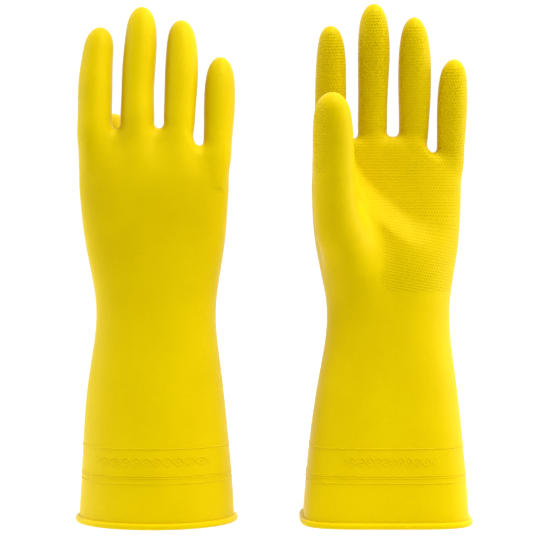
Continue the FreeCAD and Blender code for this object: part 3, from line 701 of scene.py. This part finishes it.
def lozenges(glove, c):
    """Small flat-topped lozenges standing on the skin at points c."""
    n = glove.gradient(c)
    n /= np.linalg.norm(n, axis=1)[:, None]
    x = np.array([1.0, 0, 0]) - n * n[:, :1]
    x /= np.maximum(np.linalg.norm(x, axis=1), 1e-6)[:, None]
    y = np.cross(n, x)
    verts = []
    top = (0.20 - 0.09 * smoothstep(c[:, 2], 220.0, 242.0))[:, None]
    for h, ra, rb in ((-0.14, 0.86, 0.66), (top, 0.56, 0.38)):
        for sx, sy in ((1, 0), (0, 1), (-1, 0), (0, -1)):
            verts.append(c + h * n + sx * ra * x + sy * rb * y)
    V = np.stack(verts, 1)
    sides = []
    for k in range(4):
        m = x * 0 + [(x + y), (y - x), (-x - y), (x - y)][k]
        m = m / np.linalg.norm(m, axis=1)[:, None]
        sides.append(m)
    quads = [(0, 3, 2, 1), (4, 5, 6, 7)] + [(k, (k + 1) % 4, 4 + (k + 1) % 4, 4 + k) for k in range(4)]
    return V, n, quads


def skin_material(name, base, dark, light, rough, bump_scale, bump, flock=False):
    m = bpy.data.materials.new(name)
    m.use_nodes = True
    nt = m.node_tree
    b = nt.nodes["Principled BSDF"]
    tc = nt.nodes.new("ShaderNodeTexCoord")

    def noise(scale, detail, roughness):
        t = nt.nodes.new("ShaderNodeTexNoise")
        t.inputs["Scale"].default_value = scale
        t.inputs["Detail"].default_value = detail
        t.inputs["Roughness"].default_value = roughness
        nt.links.new(tc.outputs["Object"], t.inputs["Vector"])
        return t

    cloud = noise(26.0, 4.0, 0.55)
    ramp = nt.nodes.new("ShaderNodeValToRGB")
    ramp.color_ramp.elements[0].position = 0.34
    ramp.color_ramp.elements[0].color = (*dark, 1)
    ramp.color_ramp.elements[1].position = 0.66
    ramp.color_ramp.elements[1].color = (*light, 1)
    e = ramp.color_ramp.elements.new(0.5)
    e.color = (*base, 1)
    nt.links.new(cloud.outputs["Fac"], ramp.inputs["Fac"])
    speck = noise(900.0, 2.0, 0.6)
    mix = nt.nodes.new("ShaderNodeMix")
    mix.data_type = "RGBA"
    mix.blend_type = "MULTIPLY"
    mix.inputs["Factor"].default_value = 1.0
    r2 = nt.nodes.new("ShaderNodeValToRGB")
    r2.color_ramp.elements[0].position = 0.25
    r2.color_ramp.elements[0].color = (0.955, 0.95, 0.93, 1) if not flock else (0.82, 0.81, 0.78, 1)
    r2.color_ramp.elements[1].position = 0.55
    r2.color_ramp.elements[1].color = (1, 1, 1, 1)
    nt.links.new(speck.outputs["Fac"], r2.inputs["Fac"])
    nt.links.new(ramp.outputs["Color"], mix.inputs["A"])
    nt.links.new(r2.outputs["Color"], mix.inputs["B"])
    nt.links.new(mix.outputs["Result"], b.inputs["Base Color"])
    rr = nt.nodes.new("ShaderNodeMapRange")
    rr.inputs["To Min"].default_value = rough - 0.05
    rr.inputs["To Max"].default_value = rough + 0.07
    fine = noise(140.0, 3.0, 0.6)
    nt.links.new(fine.outputs["Fac"], rr.inputs["Value"])
    nt.links.new(rr.outputs["Result"], b.inputs["Roughness"])
    grain = noise(bump_scale, 3.0, 0.55)
    bp = nt.nodes.new("ShaderNodeBump")
    bp.inputs["Strength"].default_value = bump
    bp.inputs["Distance"].default_value = 0.0004
    nt.links.new(grain.outputs["Fac"], bp.inputs["Height"])
    nt.links.new(bp.outputs["Normal"], b.inputs["Normal"])
    if flock:
        b.inputs["Sheen Weight"].default_value = 0.5
        b.inputs["Sheen Roughness"].default_value = 0.6
        b.inputs["Specular IOR Level"].default_value = 0.1
    else:
        b.inputs["Specular IOR Level"].default_value = 0.22
        b.inputs["Specular Tint"].default_value = (1.0, 0.80, 0.01, 1)
    return m


LATEX = skin_material("latex_skin", (0.74, 0.545, 0.0), (0.715, 0.522, 0.0), (0.76, 0.565, 0.0), 0.46, 520.0, 0.16)
LATEX_EDGE = skin_material("latex_rolled_edge", (0.77, 0.57, 0.0), (0.75, 0.55, 0.0), (0.79, 0.59, 0.0), 0.4, 420.0, 0.12)
FLOCK = skin_material("flock_lining", (0.82, 0.68, 0.20), (0.76, 0.62, 0.16), (0.86, 0.74, 0.28), 0.95, 2200.0, 0.9, True)


def sweep(path, normals, ups, radius, sides, closed, flat_floor=None):
    """Tube along a path; normals and ups span its section."""
    k = np.arange(sides) * 2 * math.pi / sides
    V = (path[:, None] + radius * (np.cos(k)[None, :, None] * normals[:, None] + np.sin(k)[None, :, None] * ups[:, None]))
    N = np.cos(k)[None, :, None] * normals[:, None] + np.sin(k)[None, :, None] * ups[:, None]
    n = len(path)
    T = []
    last = n if closed else n - 1
    for i in range(last):
        a, b = i * sides, ((i + 1) % n) * sides
        for j in range(sides):
            j2 = (j + 1) % sides
            T.append((a + j, b + j, b + j2, a + j2))
    V, N = V.reshape(-1, 3), N.reshape(-1, 3)
    if not closed:
        V = np.concatenate([V, path[:1], path[-1:]])
        t0, t1 = path[0] - path[1], path[-1] - path[-2]
        N = np.concatenate([N, t0[None] / np.linalg.norm(t0), t1[None] / np.linalg.norm(t1)])
        m = n * sides
        for j in range(sides):
            j2 = (j + 1) % sides
            T.append((j, j2, m, m))
            T.append(((n - 1) * sides + j2, (n - 1) * sides + j, m + 1, m + 1))
    return V, T, N


def ring_path(glove, z, outset=0.0, count=180, wave=None, arc=None):
    """Points on the skin round the cuff; z may vary with the angle."""
    th = np.arange(count) * 2 * math.pi / count if arc is None else np.linspace(arc[0], arc[1], count)
    zz = np.full(count, float(z)) if wave is None else z + wave(th)
    cu, cv = np.interp(zz, glove.zg, glove.CU), np.interp(zz, glove.zg, glove.CV)
    base = np.stack([cu, cv, zz], 1)
    d = np.stack([np.cos(th), np.sin(th), np.zeros(count)], 1)
    t = np.full(count, 60.0)
    for _ in range(40):
        f = glove.field(base + t[:, None] * d)
        t = t - 0.8 * f
    p = base + t[:, None] * d
    n = glove.gradient(p)
    n[:, 2] = 0 if wave is None else n[:, 2]
    n /= np.linalg.norm(n, axis=1)[:, None]
    return p + outset * n, n


def quads_to_object(name, V, T, N, glove, mat):
    flip = glove.sy < 0
    faces = []
    for q in T:
        q = [x for i, x in enumerate(q) if x not in q[:i]]
        faces.append(q[::-1] if flip else q)
    me = bpy.data.meshes.new(name)
    me.from_pydata(glove.world(V).tolist(), [], faces)
    bm = bmesh.new()
    bm.from_mesh(me)
    bmesh.ops.recalc_face_normals(bm, faces=bm.faces)
    bm.to_mesh(me)
    bm.free()
    me.polygons.foreach_set("use_smooth", np.full(len(me.polygons), True))
    me.normals_split_custom_set_from_vertices(glove.turn(N).astype(np.float32))
    me.materials.append(mat)
    ob = bpy.data.objects.new(name, me)
    bpy.context.scene.collection.objects.link(ob)
    return ob


def dot_solid(c, n, r, h):
    """Low round button on the skin."""
    x = np.cross(n, [0, 0, 1.0])
    x /= np.linalg.norm(x)
    y = np.cross(n, x)
    V, N, T = [], [], []
    rings = [(-0.2, 1.0), (0.1, 1.0), (0.6, 0.8), (0.95, 0.4)]
    m = 10
    for hh, rr in rings:
        for k in range(m):
            a = 2 * math.pi * k / m
            d = math.cos(a) * x + math.sin(a) * y
            V.append(c + n * h * hh + d * r * rr)
            N.append(n * (0.2 + hh) + d * (1.1 - max(hh, 0)))
    V.append(c + n * h)
    N.append(n)
    V.append(c - n * h * 0.2)
    N.append(-n)
    for i in range(len(rings) - 1):
        for k in range(m):
            k2 = (k + 1) % m
            T.append((i * m + k2, i * m + k, (i + 1) * m + k, (i + 1) * m + k2))
    top, bot = len(rings) * m, len(rings) * m + 1
    for k in range(m):
        k2 = (k + 1) % m
        T.append(((len(rings) - 1) * m + k2, (len(rings) - 1) * m + k, top))
        T.append((k, k2, bot))
    N = np.array(N)
    return np.array(V), T, N / np.linalg.norm(N, axis=1)[:, None]


def build(side):
    glove = Glove(side)
    lo = np.array([-60.0, -44.0, -6.0])
    hi = np.array([60.0, 60.0, 320.0])
    n = np.ceil((hi - lo) / GRID).astype(int) + 1
    ax = [lo[i] + GRID * np.arange(n[i]) for i in range(3)]
    F = np.empty(tuple(n))
    for k0 in range(0, n[2], 24):
        z = ax[2][k0:k0 + 24]
        g = np.stack(np.meshgrid(ax[0], ax[1], z, indexing="ij"), -1)
        F[:, :, k0:k0 + 24] = glove.field(g)
    origin = lo
    surf = {iso: split_surface(glove, F, origin, -iso) for iso in (0.0, WALL, FLOCK_OUT, FLOCK_IN)}
    skins = shells(glove, surf[0.0], surf[WALL])
    flocks = shells(glove, surf[FLOCK_OUT], surf[FLOCK_IN])
    sm = seams(glove)
    grip = grip_points(glove)
    gf = np.stack([d.field(grip) for d in glove.digits], 1)
    gl = np.ones(len(grip), int)
    gl[grip[:, 2] < CUFF_SEAM] = 0
    for i, d in enumerate(glove.digits):
        st = d.station(grip)
        mine = (gf.argmin(1) == i) & (st > sm[d.name]["root"]) & (grip[:, 2] > 180)
        if d.name == "thumb":
            mine &= gf[:, i] < 4.0
        gl[mine] = 2 + 2 * i
        gl[mine & (st > sm[d.name]["seam"])] = 3 + 2 * i

    def names(k):
        if k == 0:
            return "cuff"
        if k == 1:
            return "hand"
        return glove.digits[(k - 2) // 2].name + ("_lower" if k % 2 == 0 else "_tip")

    def attach(ob, k):
        if k == 0:
            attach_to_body(ob, side + "_cuff")
        elif k == 1:
            a, b = np.array([[0, 0, WRIST - BAND]]), np.array([[0, 0, WRIST + BAND]])
            tuple(glove.world(a)[0])
            tuple(glove.world(b)[0])
            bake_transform(ob)
        else:
            d = glove.digits[(k - 2) // 2]
            z0, z1 = (sm[d.name]["root"], sm[d.name]["root_end"]) if k % 2 == 0 else sm[d.name]["mid"]
            a, b = d.p0 + z0 * d.d, d.p0 + z1 * d.d
            tuple(glove.world(a[None])[0])
            tuple(glove.world(b[None])[0])
            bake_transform(ob)

    for k, (P, T, N) in skins.items():
        T = T if glove.sy > 0 else T[:, ::-1]
        W, NW = glove.world(P), glove.turn(N)
        c = grip[gl == k]
        if len(c):
            V, nn, quads = lozenges(glove, c)
            tri = []
            for q in quads:
                tri += [(q[0], q[1], q[2]), (q[0], q[2], q[3])]
            tri = np.array(tri)
            if glove.sy < 0:
                tri = tri[:, ::-1]
            base = len(W) + 8 * np.arange(len(c))
            T = np.concatenate([T, (base[:, None, None] + tri[None]).reshape(-1, 3)])
            W = np.concatenate([W, glove.world(V).reshape(-1, 3)])
            cc = c[:, None, :]
            nv = V - (cc - 0.35 * nn[:, None, :])
            nv /= np.linalg.norm(nv, axis=2)[..., None]
            NW = np.concatenate([NW, glove.turn(nv).reshape(-1, 3)])
        ob = make_mesh("%s_%s_skin" % (side, names(k)), W, T, NW)
        ob.data.materials.append(LATEX)
        attach(ob, k)
        p = side + "_"
        if k == 0:
            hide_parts(p + "cuff_shell")
        elif k == 1:
            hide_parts(p + "wrist_flex", p + "hand_shell")
        else:
            dn = glove.digits[(k - 2) // 2].name
            if k % 2 == 0:
                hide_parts(p + dn + "_root_flex", p + dn + "_lower")
            else:
                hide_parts(p + dn + "_mid_flex", p + dn + "_tip")
    for k, (P, T, N) in flocks.items():
        T = T if glove.sy > 0 else T[:, ::-1]
        ob = make_mesh("%s_%s_flock" % (side, names(k)), glove.world(P), T, glove.turn(N))
        ob.data.materials.append(FLOCK)
        attach(ob, k)
        if k == 0:
            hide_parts(side + "_cuff_lining")
        if k == 1:
            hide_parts(side + "_hand_lining")

    # rolled edge of the cuff
    up = np.array([0, 0, 1.0])
    path, nrm = ring_path(glove, 2.6, 0.35, 240)
    path[:, 2] = 1.75
    V, T, N = sweep(path, nrm, np.repeat(up[None], len(path), 0), 1.95, 16, True)
    V[:, 2] = np.maximum(V[:, 2], 0.0)
    T = [q[::-1] for q in T]
    ob = quads_to_object(side + "_rolled_edge", V, T, N, glove, LATEX_EDGE)
    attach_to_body(ob, side + "_cuff")
    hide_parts(side + "_cuff_bead")

    # raised lines and the plain border pattern round the front of the cuff
    allV, allT, allN = [], [], []

    def add(V, T, N):
        off = sum(len(v) for v in allV)
        allV.append(V)
        allN.append(N)
        allT.extend([tuple(x + off for x in q) for q in T])

    for z, r in ((46.8, 0.42), (30.9, 0.36), (29.6, 0.36), (26.6, 0.42)):
        path, nrm = ring_path(glove, z, -0.06, 200)
        V, T, N = sweep(path, nrm, np.repeat(up[None], len(path), 0), r, 8, True)
        add(V, [q[::-1] for q in T], N)
    mid = -math.pi / 2 if glove.sy > 0 else math.pi / 2
    half = 0.98 if side == "right" else 0.72
    for sgn in (1, -1):
        wave = lambda th: sgn * 2.3 * np.sin((th - mid) * 17.0 / (half / 0.98))
        path, nrm = ring_path(glove, 39.2, -0.05, 260, wave, (mid - half, mid + half))
        tan = np.gradient(path, axis=0)
        tan /= np.linalg.norm(tan, axis=1)[:, None]
        ups = np.cross(nrm, tan)
        V, T, N = sweep(path, nrm, ups, 0.34, 8, False)
        add(V, T, N)
    kk = 17.0 / (half / 0.98)
    th = mid + (np.arange(-20, 21) + 0.5) * math.pi / kk
    th = th[np.abs(th - mid) < half - 0.02]
    cu, cv = np.interp(39.2, glove.zg, glove.CU), np.interp(39.2, glove.zg, glove.CV)
    for t_ in th:
        path, nrm = ring_path(glove, 39.2, 0.0, 2, None, (t_, t_ + 1e-4))
        V, T, N = dot_solid(path[0], nrm[0], 0.62, 0.42)
        add(V, [tuple(q) for q in T], N)
    ob = quads_to_object(side + "_cuff_lines", np.concatenate(allV), allT, np.concatenate(allN), glove, LATEX)
    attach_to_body(ob, side + "_cuff")


for side in ("right", "left"):
    build(side)

# ---------------------------------------------------------------- studio
floor_me = bpy.data.meshes.new("floor")
floor_me.from_pydata([(-8, -8, 0), (8, -8, 0), (8, 8, 0), (-8, 8, 0)], [], [(0, 1, 2, 3)])
floor = bpy.data.objects.new("floor", floor_me)
bpy.context.scene.collection.objects.link(floor)
# Floor: grey 0.45 base with a painted glow. Its white emission rises from none in front of the gloves to 0.78 under and
# behind them, so the floor behind reads white and lights the gloves from below.
fm = bpy.data.materials.new("floor_with_painted_glow")
fm.use_nodes = True
fb = fm.node_tree.nodes["Principled BSDF"]
fb.inputs["Base Color"].default_value = (0.45, 0.45, 0.45, 1)
fb.inputs["Roughness"].default_value = 0.9
fb.inputs["Specular IOR Level"].default_value = 0.0
fb.inputs["Emission Color"].default_value = (1, 1, 1, 1)
ft = fm.node_tree
fc = ft.nodes.new("ShaderNodeTexCoord")
fx = ft.nodes.new("ShaderNodeSeparateXYZ")
# painted glow: emission strength follows the floor's Y, dark in front and glowing under and behind the gloves
fr = ft.nodes.new("ShaderNodeMapRange")
fr.interpolation_type = "SMOOTHSTEP"
fr.inputs["From Min"].default_value = -0.55
fr.inputs["From Max"].default_value = -0.06
fr.inputs["To Min"].default_value = 0.0
fr.inputs["To Max"].default_value = 0.78
ft.links.new(fc.outputs["Object"], fx.inputs["Vector"])
ft.links.new(fx.outputs["Y"], fr.inputs["Value"])
ft.links.new(fr.outputs["Result"], fb.inputs["Emission Strength"])
floor_me.materials.append(fm)

world = bpy.data.worlds.new("studio")
bpy.context.scene.world = world
world.use_nodes = True
bg = world.node_tree.nodes["Background"]
bg.inputs["Color"].default_value = (1, 1, 1, 1)
wt = world.node_tree
wc = wt.nodes.new("ShaderNodeTexCoord")
wx = wt.nodes.new("ShaderNodeSeparateXYZ")
wm = wt.nodes.new("ShaderNodeMapRange")
wm.interpolation_type = "SMOOTHSTEP"
wm.inputs["From Min"].default_value = -0.95
wm.inputs["From Max"].default_value = 0.10
wm.inputs["To Min"].default_value = 0.05
wm.inputs["To Max"].default_value = 1.06
wt.links.new(wc.outputs["Generated"], wx.inputs["Vector"])
wt.links.new(wx.outputs["Y"], wm.inputs["Value"])
wt.links.new(wm.outputs["Result"], bg.inputs["Strength"])


def lamp(name, loc, target, size, power):
    l = bpy.data.lights.new(name, "AREA")
    l.shape = "RECTANGLE"
    l.size, l.size_y = size
    l.energy = power
    o = bpy.data.objects.new(name, l)
    bpy.context.scene.collection.objects.link(o)
    o.location = loc
    from mathutils import Vector
    o.rotation_mode = "QUATERNION"
    o.rotation_quaternion = (Vector(target) - Vector(loc)).to_track_quat("-Z", "Y")
    return o


lamp("top", (0.42, -0.46, 1.28), (0, 0, 0.2), (0.5, 0.5), 14.6)
lamp("side_left", (-1.2, 0.0, 0.5), (0, 0, 0.2), (0.5, 0.9), 4.2)
lamp("side_right", (1.2, 0.0, 0.5), (0, 0, 0.2), (0.5, 0.9), 4.2)

cam_data = bpy.data.cameras.new("camera")
cam_data.sensor_width = 36.0
cam_data.lens = 97.06
cam = bpy.data.objects.new("camera", cam_data)
bpy.context.scene.collection.objects.link(cam)
cam.location = (-0.0015, -0.890, 0.1524)
cam.rotation_euler = (math.pi / 2, 0, 0)
bpy.context.scene.camera = cam
bpy.context.scene.view_settings.view_transform = "Standard"
